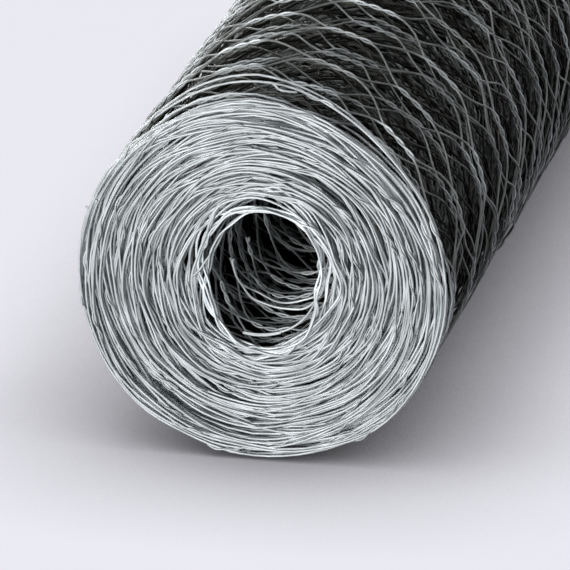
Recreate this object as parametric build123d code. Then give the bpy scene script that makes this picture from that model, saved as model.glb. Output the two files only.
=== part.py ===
from build123d import *
from math import cos, pi
import os

# A roll of hexagonal wire netting, lying on its side, in millimetres.
# The roll's axis runs along Y at the height of its radius, and the floor is Z = 0.
# It is one length of netting wound on itself, so it is one turned solid with an open bore.
# Each turn of the winding ends in a wire, and those wires stand up as rings on both ends.

# Driving dimensions
NETTING_WIDTH = 600.0
OUTSIDE_DIAMETER = 170.0
BORE_DIAMETER = 52.0

# One turn of netting takes this much of the radius, and its edge wire shows this far above
# the gap beside it.
TURN_PITCH = 2.1
EDGE_WIRE_RELIEF = 0.9

# The edges of the outermost and innermost turns lie behind the end of the roll by these
# depths, and the turns beside them climb to the end over these bands of the radius.
OUTER_TURN_SETBACK = 5.0
OUTER_SETBACK_BAND = 7.0
INNER_TURN_SETBACK = 2.5
INNER_SETBACK_BAND = 6.0


def rise(distance, band):
    """How far a turn has climbed to the roll's end, from 0 at the rim to 1 past the band."""
    if distance >= band:
        return 1.0
    return 0.5 - 0.5 * cos(pi * distance / band)


def turn_end(radius):
    """Distance from the roll's middle to the end of the turn at this radius."""
    outer_gap = OUTSIDE_DIAMETER / 2 - radius
    inner_gap = radius - BORE_DIAMETER / 2
    setback = OUTER_TURN_SETBACK * (1 - rise(outer_gap, OUTER_SETBACK_BAND))
    setback += INNER_TURN_SETBACK * (1 - rise(inner_gap, INNER_SETBACK_BAND))
    return NETTING_WIDTH / 2 - setback


def end_outline():
    """Points (radius, distance along the axis) of one end, from the bore to the outside."""
    bore_radius = BORE_DIAMETER / 2
    wall = OUTSIDE_DIAMETER / 2 - bore_radius
    turns = max(1, round(wall / TURN_PITCH))
    turn = wall / turns
    points = []
    for i in range(turns):
        gap = bore_radius + i * turn
        crest = gap + turn / 2
        points.append((gap, turn_end(gap) - EDGE_WIRE_RELIEF))
        points.append((crest, turn_end(crest)))
    outside = OUTSIDE_DIAMETER / 2
    points.append((outside, turn_end(outside) - EDGE_WIRE_RELIEF))
    return points


def wound_netting():
    """The whole winding: one end's outline, mirrored to the other end and turned."""
    near_end = end_outline()
    far_end = [(radius, -along) for radius, along in reversed(near_end)]
    profile = make_face(Polyline(*near_end, *far_end, close=True))
    turned = revolve(profile, axis=Axis.Y, revolution_arc=360)
    return Pos(0, 0, OUTSIDE_DIAMETER / 2) * turned


os.makedirs("parts", exist_ok=True)
export_step(wound_netting(), "parts/wound_netting.step")
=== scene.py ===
from math import atan, cos, pi, radians, sin

import bpy
import numpy as np
from mathutils import Matrix, Vector


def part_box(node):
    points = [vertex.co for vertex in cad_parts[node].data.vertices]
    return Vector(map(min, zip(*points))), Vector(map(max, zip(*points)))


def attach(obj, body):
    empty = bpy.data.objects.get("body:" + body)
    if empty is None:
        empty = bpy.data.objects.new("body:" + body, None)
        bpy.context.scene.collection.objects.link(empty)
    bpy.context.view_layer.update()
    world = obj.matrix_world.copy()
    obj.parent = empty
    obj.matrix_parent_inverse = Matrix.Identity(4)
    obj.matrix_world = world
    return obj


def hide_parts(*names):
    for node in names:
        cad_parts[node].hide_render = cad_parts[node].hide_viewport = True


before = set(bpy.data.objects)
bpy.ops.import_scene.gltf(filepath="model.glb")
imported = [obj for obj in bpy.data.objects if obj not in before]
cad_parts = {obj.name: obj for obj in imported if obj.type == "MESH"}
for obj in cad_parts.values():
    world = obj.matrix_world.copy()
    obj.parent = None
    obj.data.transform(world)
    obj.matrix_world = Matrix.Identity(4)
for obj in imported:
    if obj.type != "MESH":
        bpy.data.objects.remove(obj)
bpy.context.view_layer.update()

# The camera
# A long lens looks at the near end of the roll from a little above and a little to the right
# of its axis, so the end shows as a nearly round face and the side runs away behind it.
PICTURE_SIDE_PX = 570
FACE_CENTRE_PX = (261.7, 281.8)
LENS_PX = 7583.0
CAMERA_DISTANCE = 3.35
CAMERA_TO_THE_RIGHT = radians(12.4)
CAMERA_ABOVE = radians(19.4)
SENSOR_MM = 36.0

roll_low, roll_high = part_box("wound_netting")
ROLL_RADIUS = (roll_high[2] - roll_low[2]) / 2
NEAR_END = roll_low[1]
FAR_END = roll_high[1]
face_centre = Vector((0.0, NEAR_END, ROLL_RADIUS))
towards_camera = Vector(
    (
        sin(CAMERA_TO_THE_RIGHT) * cos(CAMERA_ABOVE),
        -cos(CAMERA_TO_THE_RIGHT) * cos(CAMERA_ABOVE),
        sin(CAMERA_ABOVE),
    )
)
camera_place = face_centre + CAMERA_DISTANCE * towards_camera
camera_data = bpy.data.cameras.new("camera")
camera_data.sensor_width = SENSOR_MM
camera_data.lens = SENSOR_MM * LENS_PX / PICTURE_SIDE_PX
camera_data.clip_start = 0.05
camera_data.clip_end = 60.0
camera = bpy.data.objects.new("camera", camera_data)
bpy.context.scene.collection.objects.link(camera)
aim = (-towards_camera).to_track_quat("-Z", "Y").to_matrix()
middle_px = PICTURE_SIDE_PX / 2
turn_right = atan((middle_px - FACE_CENTRE_PX[0]) / LENS_PX)
turn_up = atan((FACE_CENTRE_PX[1] - middle_px) / LENS_PX)
aim = aim @ Matrix.Rotation(-turn_right, 3, "Y") @ Matrix.Rotation(turn_up, 3, "X")
camera.matrix_world = Matrix.Translation(camera_place) @ aim.to_4x4()
bpy.context.scene.camera = camera
bpy.context.scene.view_settings.view_transform = "Standard"

# The wound netting, turn by turn
# One length of hexagonal netting is wound on itself from the bore outwards. It is woven from
# 1 mm steel wire, each wire twisted with the next one by three half turns, and then galvanised.
# It has no core and no tie.
WIRE_RADIUS = 0.00050
MESH_WIDTH = 0.050
COLUMN_STEP = MESH_WIDTH / 2
COLUMNS = round((FAR_END - NEAR_END) / COLUMN_STEP)
ROW_STEP = 0.0432
TWIST_LENGTH = 0.0215
TWIST_RADIUS = 0.00062
HALF_TWISTS = 3
EDGE_WRAP_LENGTH = 0.0170
EDGE_WRAP_TURNS = 1
EDGE_WRAP_RADIUS = 0.00105
EDGE_WRAP_STEPS = 14
HALF_WIDTH = 0.2963

INNER_TURN_RADIUS = 0.0279
OUTER_TURN_RADIUS = 0.0836
TURNS = 39.14
TURN_PITCH = (OUTER_TURN_RADIUS - INNER_TURN_RADIUS) / TURNS
LAST_ANGLE = TURNS * 2 * pi
OUTER_END_CLOCKWISE = radians(212)
NETTING_LENGTH = INNER_TURN_RADIUS * LAST_ANGLE + TURN_PITCH * LAST_ANGLE**2 / (4 * pi)
ROWS = int(NETTING_LENGTH / ROW_STEP)

UNEVEN_WINDING_SEED = 1165
chance = np.random.default_rng(UNEVEN_WINDING_SEED)


def angle_at(length):
    """Angle wound through, in radians from the inner end, at this length of netting."""
    square = INNER_TURN_RADIUS**2 + TURN_PITCH * length / pi
    return (np.sqrt(np.maximum(square, 0)) - INNER_TURN_RADIUS) * 2 * pi / TURN_PITCH


def length_at(angle):
    """Length of netting that is wound up at this angle."""
    return INNER_TURN_RADIUS * angle + TURN_PITCH * angle**2 / (4 * pi)


class Waver:
    """A smooth uneven run of a few waves. Each wave has its height in metres, its rate per radian
    wound, and its rate per metre across the netting or out from the axis."""

    def __init__(self, heights, along, across=()):
        self.heights = heights
        self.along = along
        self.across = across or [0.0] * len(heights)
        self.starts = chance.uniform(0, 2 * pi, len(heights))

    def __call__(self, angle, across=0.0):
        total = 0.0
        for height, a, b, start in zip(self.heights, self.along, self.across, self.starts):
            total = total + height * np.sin(a * angle + b * across + start)
        return total


# Turns press together in some places and part in others, all round the roll.
bunching = Waver((0.0005, 0.0003, 0.0003), (1, 2, 3), (450.0, -800.0, 1050.0))
# Each turn also wanders by itself: in and out, from side to side, and to and fro round the roll.
wander_out = Waver((0.00030, 0.00025, 0.00016), (1.31, 2.73, 4.57), (21.0, -47.0, 83.0))
wander_along = Waver((0.0011, 0.0009, 0.0006), (0.37, 0.83, 1.71), (9.0, -14.0, 31.0))
slip = Waver((0.0034, 0.0022, 0.0012), (0.41, 0.93, 2.17), (19.0, -37.0, 61.0))
edge_step = Waver(
    (0.0020, 0.0016, 0.0010, 0.0007), (0.61, 1.37, 3.13, 6.31), (7.0, 7.0, 7.0, 7.0)
)
# Near the ends the loose edges lean in and out over one another.
edge_sway = Waver((0.0016, 0.0011, 0.0005, 0.0002), (1.7, 3.1, 5.3, 9.7), (9.0, -9.0, 9.0, -9.0))
# The edge wire bends in and out and drifts along the roll by itself, and takes the mesh wires
# that are wrapped round it with it.
edge_bend = Waver(
    (0.0009, 0.0008, 0.0005, 0.0002), (1.31, 3.17, 6.63, 12.6), (9.0, -9.0, 9.0, -9.0)
)
edge_drift = Waver((0.0010, 0.0008, 0.0006), (0.93, 2.91, 7.07), (9.0, -9.0, 9.0))
# Between the ends the columns of one turn don't lie over those of the next.
slide = Waver((0.0068, 0.0052), (0.53, 1.19), (5.0, -9.0))
# Every twist sits a little off its place (along the netting, across it and outwards), and the
# wires between two twists bend and bulge each in its own way.
TWIST_OFF_ITS_PLACE = (0.0016, 0.0013, 0.00022)
BOW_OFF_ITS_PLACE = (0.0013, 0.0011, 0.00050)
twist_shift = chance.normal(0, 1, (ROWS + 1, COLUMNS + 1, 3)) * TWIST_OFF_ITS_PLACE
bow_bend = chance.normal(0, 1, (ROWS + 1, COLUMNS, 3)) * BOW_OFF_ITS_PLACE


def eased(share):
    """Rises smoothly from 0 to 1."""
    share = np.clip(share, 0, 1)
    return share * share * (3 - 2 * share)


# At both ends of the length the near edge is drawn back behind the face of the roll. Each of
# these runs from whole to nothing over an angle, measured from its own end of the length.
LAST_TURN_WHOLE = radians(130)
LAST_TURN_FADES = radians(72)
LAST_DRAWN_BACK = 0.028
FIRST_TURN_WHOLE = radians(100)
FIRST_TURN_FADES = radians(130)
FIRST_DRAWN_BACK = 0.033
FIRST_SPRINGS_IN = 0.0042
OUTERMOST_WHOLE = radians(205)
OUTERMOST_FADES = radians(60)


def last_turn(angle):
    """1 on the outermost part turn, whose near edge is drawn back, and 0 before it."""
    return 1 - eased((LAST_ANGLE - angle - LAST_TURN_WHOLE) / LAST_TURN_FADES)


def outermost(angle):
    """1 on the turn that nothing lies over, up to where the turn before it comes level."""
    return 1 - eased((LAST_ANGLE - angle - OUTERMOST_WHOLE) / OUTERMOST_FADES)


def first_turn(angle):
    """1 on the innermost part turn, whose near edge is drawn back, and 0 after it."""
    return 1 - eased((angle - FIRST_TURN_WHOLE) / FIRST_TURN_FADES)


# Close to the bore and to the outside the turns have no room to press together or part.
ROOM_BAND = 0.004
# The bore is a little higher than it is wide, and the turns round it less and less so.
BORE_OVAL = 0.0030
ROUND_AGAIN_AT = 0.046
OVAL_BAND = 0.018
# The edge wire's own bends start this far behind the edge and are whole after this band.
EDGE_BENDS_FROM = 0.010
EDGE_BENDS_BAND = 0.008
# Under the outermost part turn, the next turns lie flatter at the upper right. All round the
# rest they press outwards, and most at the lower left.
UPPER_RIGHT = radians(38)
LOWER_LEFT = radians(212)
PRESSED_FROM = 0.058
PRESSED_BAND = 0.026
FLATTER_BY = 0.0060
PRESSED_OUT_BY = 0.0013
PRESSED_OUT_LOWER_LEFT = 0.0022
# No turn passes the outline, which is a circle but for the upper right and the lower left.
OUTLINE_RADIUS = 0.0838
OUTLINE_LOWER_LEFT = 0.0004
OUTLINE_FLATTER_BY = 0.0062
OUTERMOST_STANDS_UP = 0.0042
OUTLINE_EASE = 0.0004
WIRES_WITHIN = 0.0844
# The edges lie unevenly, in and out of the face by up to this, and never past the roll's ends.
EDGE_PLAY = 0.0032
END_CLEARANCE = 0.0008


def wound(length, across, lift):
    """Places a point of the flat netting on the roll, lift being how far it stands outwards."""
    angle = angle_at(length)
    radius = INNER_TURN_RADIUS + TURN_PITCH * angle / (2 * pi)
    clockwise = OUTER_END_CLOCKWISE + LAST_ANGLE - angle
    room = np.clip((radius - INNER_TURN_RADIUS) / ROOM_BAND, 0, 1)
    room = room * np.clip((OUTER_TURN_RADIUS - radius) / ROOM_BAND, 0, 1)
    at_edge = (across / HALF_WIDTH) ** 4
    by_the_edge = eased((np.abs(across) - HALF_WIDTH + EDGE_BENDS_FROM) / EDGE_BENDS_BAND)
    out = radius + (bunching(angle, radius) + edge_sway(angle, across) * at_edge) * room
    out = out + wander_out(angle, across) + edge_bend(angle, across) * by_the_edge
    oval_share = np.clip((ROUND_AGAIN_AT - radius) / OVAL_BAND, 0, 1)
    out = out + BORE_OVAL * oval_share * np.cos(2 * clockwise)

    upper_right = (0.5 + 0.5 * np.cos(clockwise - UPPER_RIGHT)) ** 5
    lower_left = (0.5 + 0.5 * np.cos(clockwise - LOWER_LEFT)) ** 4
    pressed = eased((radius - PRESSED_FROM) / PRESSED_BAND) * (1 - outermost(angle))
    pressed_out = PRESSED_OUT_BY + PRESSED_OUT_LOWER_LEFT * lower_left
    out = out - FLATTER_BY * pressed * upper_right
    out = out + pressed_out * pressed * (1 - upper_right)
    flatter_by = OUTLINE_FLATTER_BY - OUTERMOST_STANDS_UP * outermost(angle)
    outline = OUTLINE_RADIUS + OUTLINE_LOWER_LEFT * lower_left
    outline = outline - flatter_by * upper_right
    out = outline - OUTLINE_EASE * np.logaddexp(0, (outline - out) / OUTLINE_EASE)
    out = np.minimum(out + lift, WIRES_WITHIN)

    near_side = np.clip(-across / HALF_WIDTH, 0, 1) ** 2
    out = out - FIRST_SPRINGS_IN * first_turn(angle) * near_side
    drawn_back = LAST_DRAWN_BACK * last_turn(angle) + FIRST_DRAWN_BACK * first_turn(angle)
    play = edge_step(angle, across) * (across / HALF_WIDTH) ** 2 + wander_along(angle, across)
    play = play + edge_drift(angle, across) * by_the_edge
    along = across + EDGE_PLAY * np.tanh(play / EDGE_PLAY) + drawn_back * near_side
    along = along + slide(angle, across) * (1 - at_edge)
    x = out * np.sin(clockwise)
    y = np.clip(along, NEAR_END + END_CLEARANCE, FAR_END - END_CLEARANCE)
    z = ROLL_RADIUS + out * np.cos(clockwise)
    return np.stack((x, y, z), axis=-1)


# Each point of a wire carries a tone: its finish, with painted shade and painted light. The zinc
# is thin and dull on single wires and bright on the edge wires and the twists, where the wire
# that lies under is given painted shade. Wires deep in the winding are given painted shade.
# Depth counts in full from the outside, less from the ends and least from the open bore, whose
# innermost turns are given painted light.
THIN_COAT = 0.36
WRAP_COAT = 0.60
EDGE_COAT = 0.80
BORE_PAINTED_LIGHT = 0.80
UNDER_PAINTED_SHADE = 0.50
BURIED_PAINTED_SHADE = 0.035
PAINTED_SHADE_FROM = 0.0023
PAINTED_SHADE_OVER = 0.0038
BORE_DEPTH_SHARE = 0.12
END_DEPTH_SHARE = 0.42
END_FREE_OF_PAINTED_SHADE = 0.013
PAINTED_LIGHT_BORE_TURNS = 3
# The zinc on the twists is uneven: some stay dull, and those that reach 1 get a painted glint.
UNEVEN_ZINC_SEED = 2365
LEAST_ZINC = 0.25
MOST_ZINC = 1.35
draws = np.random.default_rng(UNEVEN_ZINC_SEED)
twist_coat = draws.uniform(LEAST_ZINC, MOST_ZINC, (ROWS + 1, COLUMNS + 1))
twist_coat = np.minimum(twist_coat, 1.0)


def toned(line, angle, coat_and_painted_light):
    """A line with a tone at each point: zinc, painted shade deep down, painted light in the bore.
    """
    under_turns = (LAST_ANGLE - angle) / (2 * pi) * TURN_PITCH
    past_bore = BORE_DEPTH_SHARE * angle / (2 * pi) * TURN_PITCH
    from_end = END_DEPTH_SHARE * (FAR_END - np.abs(line[:, 1]) - END_FREE_OF_PAINTED_SHADE)
    depth = np.minimum(np.minimum(under_turns, past_bore), from_end)
    # Painted shade: wires darken with their depth in the winding.
    painted_depth_shade = 1 - (1 - BURIED_PAINTED_SHADE) * eased((depth - PAINTED_SHADE_FROM) / PAINTED_SHADE_OVER)
    # Painted light: the innermost turns by the bore are made brighter.
    bore_painted_light = 1 - eased((angle / (2 * pi) - PAINTED_LIGHT_BORE_TURNS) / PAINTED_LIGHT_BORE_TURNS)
    coat_and_painted_light = coat_and_painted_light + (1 - coat_and_painted_light) * BORE_PAINTED_LIGHT * bore_painted_light
    tone = (THIN_COAT + (1 - THIN_COAT) * coat_and_painted_light) * painted_depth_shade
    return np.column_stack((line, tone))


def round_the_edge_wire(column, share):
    """How far a mesh wire lies sideways and outwards as it wraps the edge wire, and its coat."""
    inward = 1 if column == 0 else -1
    wrap = 2 * pi * EDGE_WRAP_TURNS * share
    sideways = inward * EDGE_WRAP_RADIUS * np.cos(wrap)
    outward = EDGE_WRAP_RADIUS * np.sin(wrap)
    return sideways, outward, np.full(len(share), WRAP_COAT)


def round_its_neighbour(row, column, rising, share):
    """Where a mesh wire lies in a twist, and its coat, with painted shade where it lies under."""
    comes_from = -1 if rising else 1
    wrap = pi * HALF_TWISTS * share
    sideways = comes_from * TWIST_RADIUS * np.cos(wrap)
    outward = comes_from * TWIST_RADIUS * np.sin(wrap)
    over = comes_from * np.sin(wrap)
    # Painted shade: the wire is darker where it passes under its neighbour.
    coat_and_painted_light = twist_coat[row, column] * (1 - UNDER_PAINTED_SHADE * (1 - over) / 2)
    return sideways, outward, coat_and_painted_light


# A bow leaves its twist nearly straight, with this share of a straight line in it.
STRAIGHT_SHARE = 0.45


def strand(number, first_row, last_row, twist_steps, bow_steps):
    """One wire's line and tone over some rows: a twist, a bow to the next column, and so on."""
    length, across, lift, coat_and_painted_light = [], [], [], []
    bow = np.arange(1, bow_steps) / bow_steps
    for row in range(first_row, last_row + 1):
        phase = (row + 2 * number) % (2 * COLUMNS)
        rising = phase < COLUMNS
        column = phase if rising else 2 * COLUMNS - phase
        middle = (column / COLUMNS * 2 - 1) * HALF_WIDTH
        at_edge = column in (0, COLUMNS)
        steps = EDGE_WRAP_STEPS if at_edge else twist_steps
        share = np.arange(steps + 1) / steps
        if row == first_row:
            share = share[share >= 0.5]
        if row == last_row:
            share = share[share <= 0.5]
        if at_edge:
            sideways, outward, coated_and_shaded = round_the_edge_wire(column, share)
            here = row * ROW_STEP + (share - 0.5) * EDGE_WRAP_LENGTH
        else:
            sideways, outward, coated_and_shaded = round_its_neighbour(row, column, rising, share)
            shift = twist_shift[row, column]
            here = row * ROW_STEP + (share - 0.5) * TWIST_LENGTH + shift[0]
            sideways = sideways + shift[1]
            outward = outward + shift[2]
        if length:
            start = (length[-1][-1], across[-1][-1], lift[-1][-1])
            finish = (here[0], middle + sideways[0], outward[0])
            leaning = STRAIGHT_SHARE * bow + (1 - STRAIGHT_SHARE) * eased(bow)
            bend = bow_bend[row, number % COLUMNS][:, None] * np.sin(pi * bow)
            length.append(start[0] + (finish[0] - start[0]) * bow + bend[0])
            across.append(start[1] + (finish[1] - start[1]) * leaning + bend[1])
            lift.append(start[2] + (finish[2] - start[2]) * bow + bend[2])
            coat_and_painted_light.append(np.zeros(len(bow)))
        length.append(here)
        across.append(middle + sideways)
        lift.append(outward)
        coat_and_painted_light.append(coated_and_shaded)
    length = np.concatenate(length)
    across = np.concatenate(across)
    length = np.maximum(length + slip(angle_at(length), across), 0)
    line = wound(length, across, np.concatenate(lift))
    return toned(line, angle_at(length), np.concatenate(coat_and_painted_light))


# Every facet has its own place on the finish map, in cells of equal size: one for each stretch
# of wire and one for each cut end.
MAP_FILL = 0.92
CAP_MAP_RADIUS = 0.4
# The round section of a wire is set out from a guide that points away from the roll's axis and
# leans along the roll by this much, off the direction of the wires.
GUIDE_LEAN = 0.3


def skin_round(line, radius, sides):
    """The corners of a round wire, ring by ring along its centre line."""
    ahead = np.gradient(line, axis=0)
    ahead /= np.linalg.norm(ahead, axis=1, keepdims=True)
    out = line - np.array((0.0, 0.0, ROLL_RADIUS))
    out[:, 1] = 0
    out /= np.linalg.norm(out, axis=1, keepdims=True)
    out[:, 1] = GUIDE_LEAN
    side = np.cross(ahead, out)
    side /= np.linalg.norm(side, axis=1, keepdims=True)
    up = np.cross(side, ahead)
    around = np.arange(sides)[None, :, None] / sides * 2 * pi
    skin = line[:, None, :] + radius * np.cos(around) * up[:, None, :]
    skin = skin + radius * np.sin(around) * side[:, None, :]
    return skin.reshape(-1, 3)


def skinned(name, corners, tones, facets, sizes, spots):
    """A piece made of facets: which corners go round each, how many, and where on the map."""
    mesh = bpy.data.meshes.new(name)
    mesh.vertices.add(len(corners))
    mesh.vertices.foreach_set("co", corners.astype(np.float32).ravel())
    mesh.loops.add(len(facets))
    mesh.loops.foreach_set("vertex_index", facets.astype(np.int32))
    mesh.polygons.add(len(sizes))
    mesh.polygons.foreach_set("loop_start", (np.cumsum(sizes) - sizes).astype(np.int32))
    mesh.polygons.foreach_set("loop_total", sizes.astype(np.int32))
    mesh.polygons.foreach_set("use_smooth", np.ones(len(sizes), dtype=bool))
    mesh.update(calc_edges=True)
    mesh.validate()
    tone = mesh.attributes.new("zinc_tone_and_painted_shade", "FLOAT", "POINT")
    tone.data.foreach_set("value", tones.astype(np.float32))
    layer = mesh.uv_layers.new(name="OFBake")
    layer.data.foreach_set("uv", spots.astype(np.float32).ravel())
    piece = bpy.data.objects.new(name, mesh)
    bpy.context.scene.collection.objects.link(piece)
    return piece


def wire_mesh(name, lines, radius, sides):
    """One piece of round wires along the given centre lines, closed at each end."""
    corners, tones, facets, spots, cut_ends = [], [], [], [], []
    cells = sum(len(line) - 1 for line in lines) + 2 * len(lines)
    per_row = int(cells**0.5) + 1
    cell = 1.0 / per_row
    strip = cell * MAP_FILL / sides
    corner = np.arange(sides)
    used = 0
    first = 0
    for line in lines:
        corners.append(skin_round(line[:, :3], radius, sides))
        tones.append(np.repeat(line[:, 3], sides))
        stretch = np.arange(len(line) - 1)[:, None]
        a = first + stretch * sides + corner
        b = first + stretch * sides + (corner + 1) % sides
        facets.append(np.stack((a, b, b + sides, a + sides), axis=-1).ravel())
        place = used + stretch
        v0 = place // per_row * cell + corner * strip
        u0 = np.broadcast_to(place % per_row * cell, v0.shape)
        v1 = v0 + strip
        u1 = u0 + cell
        spots.append(np.stack((u0, v0, u0, v1, u1, v1, u1, v0), axis=-1).reshape(-1, 2))
        cut_ends.append((first, corner[::-1]))
        cut_ends.append((first + len(stretch) * sides, corner))
        used += len(stretch)
        first += len(line) * sides
    for base, order in cut_ends:
        facets.append(base + order)
        turn = 2 * pi * order / sides
        u = used % per_row * cell + cell * (0.5 + CAP_MAP_RADIUS * np.cos(turn))
        v = used // per_row * cell + cell * (0.5 + CAP_MAP_RADIUS * np.sin(turn))
        spots.append(np.column_stack((u, v)))
        used += 1
    facets = np.concatenate(facets)
    around_wires = (len(facets) - len(cut_ends) * sides) // 4
    sizes = np.concatenate((np.full(around_wires, 4), np.full(len(cut_ends), sides)))
    corners = np.concatenate(corners)
    return skinned(name, corners, np.concatenate(tones), facets, sizes, np.concatenate(spots))


# The zinc is clouded, from dull to bright. A wire's tone darkens it with its painted shade,
# towards a warm grey in the dim parts, and the brightest twists are lifted above it: a painted
# glint.
DULL_ZINC = (0.478, 0.508, 0.520, 1)
BRIGHT_ZINC = (0.682, 0.725, 0.738, 1)
CLOUD_SCALE = 90.0
CLOUD_FROM = 0.35
CLOUD_TO = 0.65
DIM_TONE = 0.15
DIM_SHADE = (0.15, 0.148, 0.122, 1)
PLAIN_TONE = 0.87
PLAIN_SHADE = (0.87, 0.87, 0.87, 1)
PAINTED_GLINT_SHADE = (1.34, 1.34, 1.34, 1)
METAL_SHARE = 0.25
SPANGLE_SCALE = 420.0
SPANGLE_FROM = 0.3
SPANGLE_TO = 0.7
ROUGHNESS_FROM = 0.34
ROUGHNESS_TO = 0.46
SPANGLE_STRENGTH = 0.25
SPANGLE_DEPTH = 0.0001


def galvanised(name, shine):
    """Zinc-coated wire, clouded grey, in each wire's tone with its painted shade and glint."""
    material = bpy.data.materials.new(name)
    material.use_nodes = True
    nodes = material.node_tree.nodes
    links = material.node_tree.links
    shader = nodes["Principled BSDF"]
    shader.inputs["Metallic"].default_value = METAL_SHARE * shine
    place = nodes.new("ShaderNodeTexCoord")

    clouds = nodes.new("ShaderNodeTexNoise")
    clouds.inputs["Scale"].default_value = CLOUD_SCALE
    clouds.inputs["Detail"].default_value = 3.0
    links.new(place.outputs["Object"], clouds.inputs["Vector"])
    clouded = nodes.new("ShaderNodeValToRGB")
    clouded.color_ramp.elements[0].position = CLOUD_FROM
    clouded.color_ramp.elements[0].color = DULL_ZINC
    clouded.color_ramp.elements[1].position = CLOUD_TO
    clouded.color_ramp.elements[1].color = BRIGHT_ZINC
    links.new(clouds.outputs["Fac"], clouded.inputs["Fac"])

    given = nodes.new("ShaderNodeAttribute")
    given.attribute_name = "zinc_tone_and_painted_shade"
    shade = nodes.new("ShaderNodeValToRGB")
    shade.color_ramp.elements[0].position = 0.0
    shade.color_ramp.elements[0].color = (0, 0, 0, 1)
    shade.color_ramp.elements[1].position = 1.0
    # Tones above the plain tone are lifted past the zinc's own colour: a painted glint.
    shade.color_ramp.elements[1].color = PAINTED_GLINT_SHADE
    shade.color_ramp.elements.new(DIM_TONE).color = DIM_SHADE
    shade.color_ramp.elements.new(PLAIN_TONE).color = PLAIN_SHADE
    links.new(given.outputs["Fac"], shade.inputs["Fac"])
    finished = nodes.new("ShaderNodeMix")
    finished.data_type = "RGBA"
    finished.blend_type = "MULTIPLY"
    finished.inputs["Factor"].default_value = 1.0
    links.new(clouded.outputs["Color"], finished.inputs["A"])
    links.new(shade.outputs["Color"], finished.inputs["B"])
    links.new(finished.outputs["Result"], shader.inputs["Base Color"])

    # The gloss follows the tone, so painted shade also dims the reflections of buried wires.
    gloss = nodes.new("ShaderNodeMath")
    gloss.operation = "MULTIPLY"
    gloss.inputs[1].default_value = shine
    links.new(given.outputs["Fac"], gloss.inputs[0])
    links.new(gloss.outputs["Value"], shader.inputs["Specular IOR Level"])

    spangle = nodes.new("ShaderNodeTexNoise")
    spangle.inputs["Scale"].default_value = SPANGLE_SCALE
    spangle.inputs["Detail"].default_value = 2.0
    links.new(place.outputs["Object"], spangle.inputs["Vector"])
    dull = nodes.new("ShaderNodeMapRange")
    dull.inputs["From Min"].default_value = SPANGLE_FROM
    dull.inputs["From Max"].default_value = SPANGLE_TO
    dull.inputs["To Min"].default_value = ROUGHNESS_FROM
    dull.inputs["To Max"].default_value = ROUGHNESS_TO
    links.new(spangle.outputs["Fac"], dull.inputs["Value"])
    links.new(dull.outputs["Result"], shader.inputs["Roughness"])
    bump = nodes.new("ShaderNodeBump")
    bump.inputs["Strength"].default_value = SPANGLE_STRENGTH
    bump.inputs["Distance"].default_value = SPANGLE_DEPTH
    links.new(spangle.outputs["Fac"], bump.inputs["Height"])
    links.new(bump.outputs["Normal"], shader.inputs["Normal"])
    return material


zinc = galvanised("zinc", shine=0.6)


def fit(piece, material):
    """Gives a piece its finish and its place on the roll."""
    piece.data.materials.append(material)
    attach(piece, "root")
    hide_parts("wound_netting")


def turns_of_netting(name, first, last, twist_steps, bow_steps, sides):
    """All the mesh wires between two turns, counted from the bore."""
    first_row = round(length_at(first * 2 * pi) / ROW_STEP)
    last_row = min(ROWS, round(length_at(last * 2 * pi) / ROW_STEP))
    lines = []
    for number in range(COLUMNS):
        lines.append(strand(number, first_row, last_row, twist_steps, bow_steps))
    fit(wire_mesh(name, lines, WIRE_RADIUS, sides), zinc)


# The turns that are seen best have the roundest wires.
turns_of_netting("bore_turns", 0, 4, twist_steps=12, bow_steps=5, sides=5)
turns_of_netting("bore_wall_turns", 4, 9, twist_steps=8, bow_steps=3, sides=4)
turns_of_netting("middle_turns", 9, 19, twist_steps=6, bow_steps=2, sides=3)
turns_of_netting("fifth_turns", 19, 24, twist_steps=5, bow_steps=2, sides=3)
turns_of_netting("fourth_turns", 24, 29, twist_steps=6, bow_steps=3, sides=3)
turns_of_netting("third_turns", 29, 34, twist_steps=8, bow_steps=3, sides=4)
turns_of_netting("second_turns", 34, 37, twist_steps=12, bow_steps=4, sides=4)
turns_of_netting("outside_turns", 37, TURNS, twist_steps=12, bow_steps=6, sides=5)

# The packed middle of the winding
# In the real roll the many turns cover one another, so that nothing shows through. A thin ring
# of uneven, ridged bulk stands in for that here, dark with the painted shade of the buried
# wires. It lies deep in the winding and ends well behind the ends of the roll.
PACKED_INNER_RADIUS = 0.0415
PACKED_OUTER_RADIUS = 0.0485
PACKED_HALF_LENGTH = 0.283
PACKED_OVAL = 0.0033
AROUND = 120
ALONG = 80
INNER_RIDGE = 0.0008
OUTER_RIDGE = 0.0016
RIDGES_AROUND = 12
# The outside also rises and falls by this much, in waves that each have a share of it, a length
# along the roll, a number of times round it, and a start.
OUTER_SWELL = 0.0042
SWELLS = ((0.40, 0.131, 2, 0.7), (0.35, 0.053, -3, 0.0), (0.25, 0.031, 5, 1.9))


def ridges(clockwise, along):
    """Crossing ridges, from -1 in the hollows to 1 on the wires."""
    lean = RIDGES_AROUND * clockwise
    run = 2 * pi * along / MESH_WIDTH
    return np.maximum(np.cos(lean + run), np.cos(lean - run)) * 2 - 1


def swell(clockwise, along):
    """Uneven rise and fall of the ring's outside, from -1 to 1."""
    total = 0.0
    for share, length, times, start in SWELLS:
        total = total + share * np.sin(2 * pi * along / length + times * clockwise + start)
    return total


def packed_ring(along, radius, ridge, rise):
    """The corners round the ring at one place along the roll."""
    clockwise = np.arange(AROUND) * 2 * pi / AROUND
    oval_share = np.clip((ROUND_AGAIN_AT - radius) / OVAL_BAND, 0, 1)
    reach = radius + PACKED_OVAL * oval_share * np.cos(2 * clockwise)
    reach = reach + ridge * ridges(clockwise, along) + rise * swell(clockwise, along)
    x = reach * np.sin(clockwise)
    z = ROLL_RADIUS + reach * np.cos(clockwise)
    return np.stack((x, np.full(AROUND, along), z), axis=-1)


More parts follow.
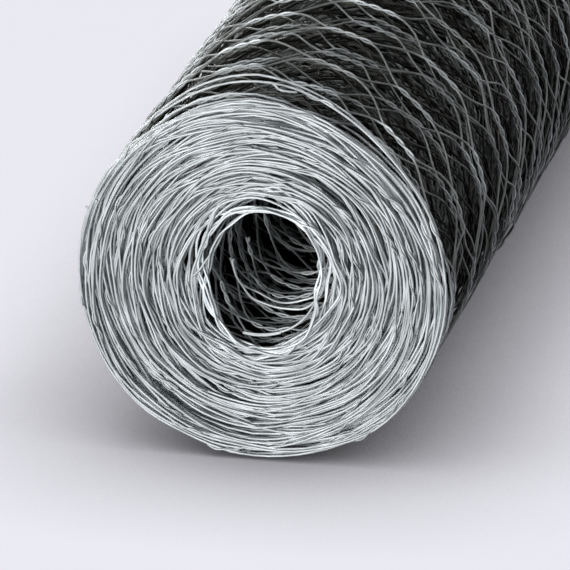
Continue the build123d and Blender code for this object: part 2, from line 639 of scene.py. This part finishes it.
def packed_turns():
    """The ring's skin: out along its outside, in over one end, back down its bore and closed."""
    places = np.linspace(-PACKED_HALF_LENGTH, PACKED_HALF_LENGTH, ALONG)
    rings = [packed_ring(y, PACKED_OUTER_RADIUS, OUTER_RIDGE, OUTER_SWELL) for y in places]
    rings += [packed_ring(y, PACKED_INNER_RADIUS, INNER_RIDGE, 0.0) for y in places[::-1]]
    corners = np.concatenate(rings)
    row = np.arange(len(rings))[:, None]
    k = np.arange(AROUND)
    here = row * AROUND
    ahead = (row + 1) % len(rings) * AROUND
    beside = (k + 1) % AROUND
    facets = np.stack((here + k, ahead + k, ahead + beside, here + beside), axis=-1).ravel()
    low, high = row / len(rings), (row + 1) / len(rings)
    left, right = k / AROUND, (k + 1) / AROUND
    spots = np.broadcast_arrays(left, low, left, high, right, high, right, low)
    spots = np.stack(spots, axis=-1).reshape(-1, 2)
    sizes = np.full(len(rings) * AROUND, 4)
    # Its whole skin has the painted shade of the buried wires.
    tones = np.full(len(corners), BURIED_PAINTED_SHADE)
    return skinned("packed_turns", corners, tones, facets, sizes, spots)


fit(packed_turns(), galvanised("packed_zinc", shine=0.0))

# The edge wires
# Two straight galvanised wires, a little thicker than the rest, run along each edge of the
# netting, and the mesh wires wrap round the first. Wound up, the edges pack side by side and
# make the bright ends of the roll.
EDGE_WIRE_RADIUS = 0.00055
EDGE_WIRE_STEP = radians(4.5)
EDGE_WIRE_SIDES = 5
SECOND_WIRE_INSET = 0.0026
# At both ends of the length the two wires lie further apart by this much.
LAST_APART = 0.0035
FIRST_APART = 0.0085
FIRST_PARTS_OVER = radians(50)


def edge_wire(side, inset, parted, out_waver, along_waver):
    """One edge wire's centre line, all the way from the bore to the outer end."""
    last = angle_at(ROWS * ROW_STEP)
    angle = np.linspace(0, last, int(last / EDGE_WIRE_STEP))
    length = length_at(angle)
    apart = LAST_APART * last_turn(angle)
    apart = apart + FIRST_APART * first_turn(angle) * eased(angle / FIRST_PARTS_OVER)
    across = side * (HALF_WIDTH - inset - parted * apart) + along_waver(angle)
    return toned(wound(length, across, out_waver(angle)), angle, EDGE_COAT)


def edge_wires(name, side):
    """The two wires along one edge, of which the second wanders by itself."""
    lines = []
    for inset, parted in ((0.0, 0.0), (SECOND_WIRE_INSET, 1.0)):
        out = Waver((0.0010 * parted, 0.0007 * parted, 0.0004 * parted), (1.7, 3.9, 8.3))
        along = Waver((0.0008 * parted, 0.0006 * parted), (2.3, 5.1))
        lines.append(edge_wire(side, inset, parted, out, along))
    fit(wire_mesh(name, lines, EDGE_WIRE_RADIUS, EDGE_WIRE_SIDES), zinc)


edge_wires("near_edge_wires", -1)
edge_wires("far_edge_wires", 1)

# The bunched wires behind the edges
# Behind the edge wires, galvanised mesh wires of many turns lie bunched along the winding and
# fill the gaps in the end of the roll. Four lines of wire along each edge stand in for them.
BUNCHED_FROM = radians(1500)
BUNCHED_SHORT_OF_LAST = radians(620)
BUNCHED_STEP = 2 * EDGE_WIRE_STEP
# How far each line lies behind the edge, and how much further where it isn't at the lower left.
BUNCHED_INSETS = ((0.0045, 0.0), (0.0090, 0.0), (0.0065, 0.0), (0.0030, 0.0100))
SHALLOW_AT = radians(205)


def bunched_wires(name, side):
    """The bunched wires behind one edge."""
    angle = np.arange(BUNCHED_FROM, LAST_ANGLE - BUNCHED_SHORT_OF_LAST, BUNCHED_STEP)
    shallow = 0.5 + 0.5 * np.cos(OUTER_END_CLOCKWISE + LAST_ANGLE - angle - SHALLOW_AT)
    lines = []
    for inset, deeper in BUNCHED_INSETS:
        out = Waver((0.0014, 0.0010, 0.0006, 0.0003), (1.13, 2.77, 5.9, 9.3))
        along = Waver((0.0014, 0.0010, 0.0008), (1.1, 2.6, 5.3))
        across = side * (HALF_WIDTH - inset - deeper * (1 - shallow)) + along(angle)
        lines.append(toned(wound(length_at(angle), across, out(angle)), angle, EDGE_COAT))
    fit(wire_mesh(name, lines, EDGE_WIRE_RADIUS, EDGE_WIRE_SIDES), zinc)


bunched_wires("near_bunched_wires", -1)
bunched_wires("far_bunched_wires", 1)

# The loose wire ends
# Cut ends of single galvanised wires spring away from the winding: at the top of the drawn-back
# edge, beside the bore and at the left. Low in the bore, one wire runs on in an arc with a short
# end along it. Each is set out by the pixels that show it and by its depth behind the near end.
TOP_END_PX = ((272, 83), (276, 86.5), (280, 90), (288, 91.5), (297, 92.5))
TOP_END_BEHIND = (0.026, 0.022, 0.018, 0.0185, 0.020)
BORE_END_PX = ((193, 276), (197, 272.5), (201, 268), (205, 262), (211, 254))
BORE_END_BEHIND = (0.0006, 0.0006, 0.0010, 0.0020, 0.0040)
TIP_PX = ((86, 206.5), (89, 208.5), (93, 207), (97, 200))
TIP_BEHIND = (0.006, 0.005, 0.004, 0.003)
INNER_ARC_PX = (
    (243, 332),
    (256, 334),
    (270, 333.8),
    (284, 331),
    (297, 324.5),
    (308, 314),
    (316, 301),
)
INNER_ARC_BEHIND = (0.0050, 0.0050, 0.0052, 0.0056, 0.0060, 0.0060, 0.0050)
FLAT_END_PX = ((243, 332.6), (255, 335.2), (268, 335.2), (281, 333))
FLAT_END_BEHIND = (0.0048, 0.0048, 0.0050, 0.0054)
LOOSE_END_SIDES = 8


def sight(px, py, behind):
    """The point that a pixel shows at this depth behind the roll's near end."""
    ray = aim @ Vector(((px - middle_px) / LENS_PX, (middle_px - py) / LENS_PX, -1.0))
    reach = (NEAR_END + behind - camera_place.y) / ray.y
    return camera_place + reach * ray


def loose_wire(pixels, depths, steps):
    """A smooth line through the points that these pixels show."""
    spots = np.array([sight(px, py, behind) for (px, py), behind in zip(pixels, depths)])
    slopes = np.gradient(spots, axis=0)
    fine = np.linspace(0, len(spots) - 1, steps)
    k = np.minimum(fine.astype(int), len(spots) - 2)
    t = (fine - k)[:, None]
    a, b, da, db = spots[k], spots[k + 1], slopes[k], slopes[k + 1]
    return (
        (2 * t**3 - 3 * t**2 + 1) * a
        + (t**3 - 2 * t**2 + t) * da
        + (3 * t**2 - 2 * t**3) * b
        + (t**3 - t**2) * db
    )


loose = [
    loose_wire(TOP_END_PX, TOP_END_BEHIND, 16),
    loose_wire(BORE_END_PX, BORE_END_BEHIND, 16),
    loose_wire(TIP_PX, TIP_BEHIND, 10),
    loose_wire(INNER_ARC_PX, INNER_ARC_BEHIND, 30),
    loose_wire(FLAT_END_PX, FLAT_END_BEHIND, 14),
]
loose = [np.column_stack((line, np.full(len(line), EDGE_COAT))) for line in loose]
fit(wire_mesh("loose_ends", loose, WIRE_RADIUS, LOOSE_END_SIDES), zinc)

# The studio
# A pale floor and room, which show as a plain pale backdrop and throw little light themselves.
# The floor keeps the roll's shadow from the lamps, and close to the roll its glow is darkened by
# a painted shadow.
PALE = (0.83, 0.825, 0.885, 1)
FLOOR_GLOW = (0.887, 0.883, 0.950, 1)
FLOOR_IN_ITS_LIGHT = (0.06, 0.06, 0.065, 1)
ROOM_IN_ITS_LIGHT = (0.02, 0.02, 0.021, 1)
GLOW_SHARE = 0.86
PAINTED_SHADOW_REACH = 0.12
PAINTED_SHADOW_POWER = 1.5
FLOOR_REACH = 30.0

floor_mesh = bpy.data.meshes.new("floor")
floor_corners = [
    (-FLOOR_REACH, -FLOOR_REACH, 0),
    (FLOOR_REACH, -FLOOR_REACH, 0),
    (FLOOR_REACH, FLOOR_REACH, 0),
    (-FLOOR_REACH, FLOOR_REACH, 0),
]
floor_mesh.from_pydata(floor_corners, [], [(0, 1, 2, 3)])
floor = bpy.data.objects.new("floor", floor_mesh)
bpy.context.scene.collection.objects.link(floor)


def seen_directly(tree):
    """1 for rays that show the backdrop itself or its reflection, 0 for the light it throws."""
    path = tree.nodes.new("ShaderNodeLightPath")
    first = tree.nodes.new("ShaderNodeMath")
    first.operation = "MAXIMUM"
    second = tree.nodes.new("ShaderNodeMath")
    second.operation = "MAXIMUM"
    tree.links.new(path.outputs["Is Camera Ray"], first.inputs[0])
    tree.links.new(path.outputs["Is Glossy Ray"], first.inputs[1])
    tree.links.new(first.outputs[0], second.inputs[0])
    tree.links.new(path.outputs["Is Transmission Ray"], second.inputs[1])
    return second.outputs[0]


def pale_floor():
    """Matt floor that glows where it is seen, with a painted shadow close to the roll."""
    material = bpy.data.materials.new("pale_floor")
    material.use_nodes = True
    tree = material.node_tree
    tree.nodes.remove(tree.nodes["Principled BSDF"])
    seen = seen_directly(tree)
    matt = tree.nodes.new("ShaderNodeBsdfDiffuse")
    shades = tree.nodes.new("ShaderNodeMix")
    shades.data_type = "RGBA"
    shades.inputs["A"].default_value = FLOOR_IN_ITS_LIGHT
    shades.inputs["B"].default_value = PALE
    tree.links.new(seen, shades.inputs["Factor"])
    tree.links.new(shades.outputs["Result"], matt.inputs["Color"])
    glow = tree.nodes.new("ShaderNodeEmission")
    glow.inputs["Color"].default_value = FLOOR_GLOW
    # Ambient occlusion darkens the glow close to the roll: a painted shadow.
    painted_shadow_ao = tree.nodes.new("ShaderNodeAmbientOcclusion")
    painted_shadow_ao.samples = 8
    painted_shadow_ao.inputs["Distance"].default_value = PAINTED_SHADOW_REACH
    open_share = tree.nodes.new("ShaderNodeMath")
    open_share.operation = "POWER"
    open_share.inputs[1].default_value = PAINTED_SHADOW_POWER
    tree.links.new(painted_shadow_ao.outputs["AO"], open_share.inputs[0])
    tree.links.new(open_share.outputs[0], glow.inputs["Strength"])
    share = tree.nodes.new("ShaderNodeMath")
    share.operation = "MULTIPLY"
    share.inputs[1].default_value = GLOW_SHARE
    tree.links.new(seen, share.inputs[0])
    blend = tree.nodes.new("ShaderNodeMixShader")
    tree.links.new(share.outputs[0], blend.inputs["Fac"])
    tree.links.new(matt.outputs[0], blend.inputs[1])
    tree.links.new(glow.outputs[0], blend.inputs[2])
    tree.links.new(blend.outputs[0], tree.nodes["Material Output"].inputs["Surface"])
    return material


def dim_room():
    """A room that is pale where it is seen and dim in the light that it throws."""
    world = bpy.data.worlds.new("room")
    world.use_nodes = True
    tree = world.node_tree
    colour = tree.nodes.new("ShaderNodeMix")
    colour.data_type = "RGBA"
    colour.inputs["A"].default_value = ROOM_IN_ITS_LIGHT
    colour.inputs["B"].default_value = PALE
    tree.links.new(seen_directly(tree), colour.inputs["Factor"])
    tree.links.new(colour.outputs["Result"], tree.nodes["Background"].inputs["Color"])
    return world


floor_mesh.materials.append(pale_floor())
bpy.context.scene.world = dim_room()

# The lamps
# Five soft rectangular lamps: a large one low before the near end, to the left, and a small one
# beside it, which make the end bright, and one above and two behind the roll, for its sides.
NEAR_END_MIDDLE = (0, -0.3, 0.08)
ROLL_MIDDLE = (0, 0.1, 0.08)
ROLL_TOP = (0, 0.0, 0.1)


def lamp(name, place, target, size, watts):
    """A rectangular lamp of this width and height, turned towards its target."""
    width, height = size
    data = bpy.data.lights.new(name, "AREA")
    data.shape = "RECTANGLE"
    data.size = width
    data.size_y = height
    data.energy = watts
    piece = bpy.data.objects.new(name, data)
    bpy.context.scene.collection.objects.link(piece)
    piece.location = place
    towards = Vector(target) - Vector(place)
    piece.rotation_euler = towards.to_track_quat("-Z", "Y").to_euler()


lamp("key_lamp", (-0.80, -2.92, 0.40), NEAR_END_MIDDLE, size=(1.8, 1.3), watts=103)
lamp("fill_lamp", (0.10, -2.92, 0.25), NEAR_END_MIDDLE, size=(0.5, 0.5), watts=12.5)
lamp("top_lamp", (-0.5, -0.1, 2.5), ROLL_TOP, size=(0.6, 0.6), watts=18)
lamp("back_lamp", (-2.1, 2.4, 0.60), ROLL_MIDDLE, size=(1.4, 0.7), watts=30)
lamp("side_lamp", (2.0, 2.6, 0.50), ROLL_MIDDLE, size=(1.4, 0.7), watts=11)
